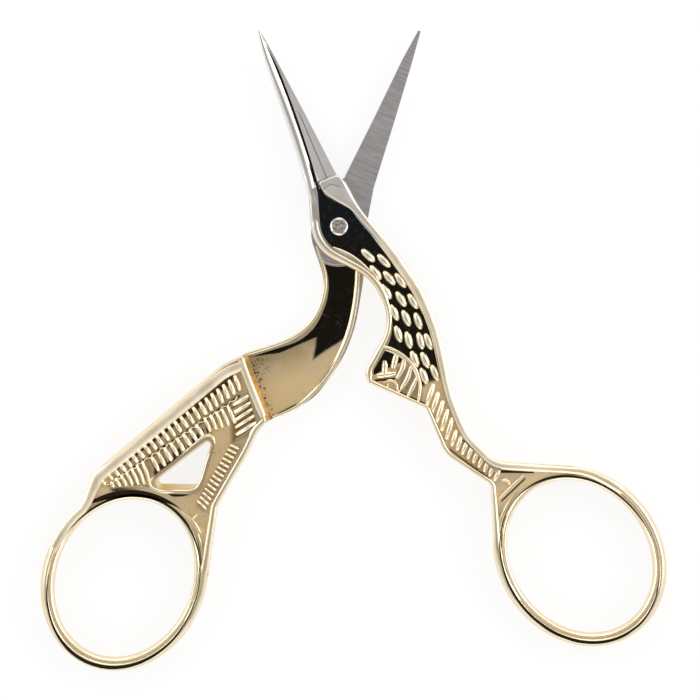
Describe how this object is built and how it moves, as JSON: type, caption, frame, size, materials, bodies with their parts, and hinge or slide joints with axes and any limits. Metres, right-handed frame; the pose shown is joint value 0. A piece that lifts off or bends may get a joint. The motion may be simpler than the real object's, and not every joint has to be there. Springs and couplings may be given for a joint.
{
  "type": "embroidery scissors",
  "caption": "Small stork-shaped embroidery scissors: two halves crossing at one screw, long straight blades as the beak, oval finger rings at the feet.",
  "frame": {"origin": "where the pivot's axis meets the plane that the pair lies on", "axes": "+Z along the pivot, towards the front half; +Y midway between the open blades, towards their points; +X to the front half's finger ring"},
  "size_m": [0.1017, 0.104, 0.0047],
  "materials": {
    "gilt_steel": "pale gold plating with a satin sheen on the legs, wing and neck, worn to bare steel on the blades",
    "screw_steel": "bare steel, filed flat at its peened end"
  },
  "bodies": {
    "back": {"back_half": "gilt_steel"},
    "front": {"front_half": "gilt_steel", "pivot_screw": "screw_steel"}
  },
  "joints": [
    {"name": "pivot", "type": "hinge", "parent": "back", "child": "front", "pos_m": [0, 0, 0], "axis": [0, 0, 1], "range_deg": [-44, 105]}
  ]
}
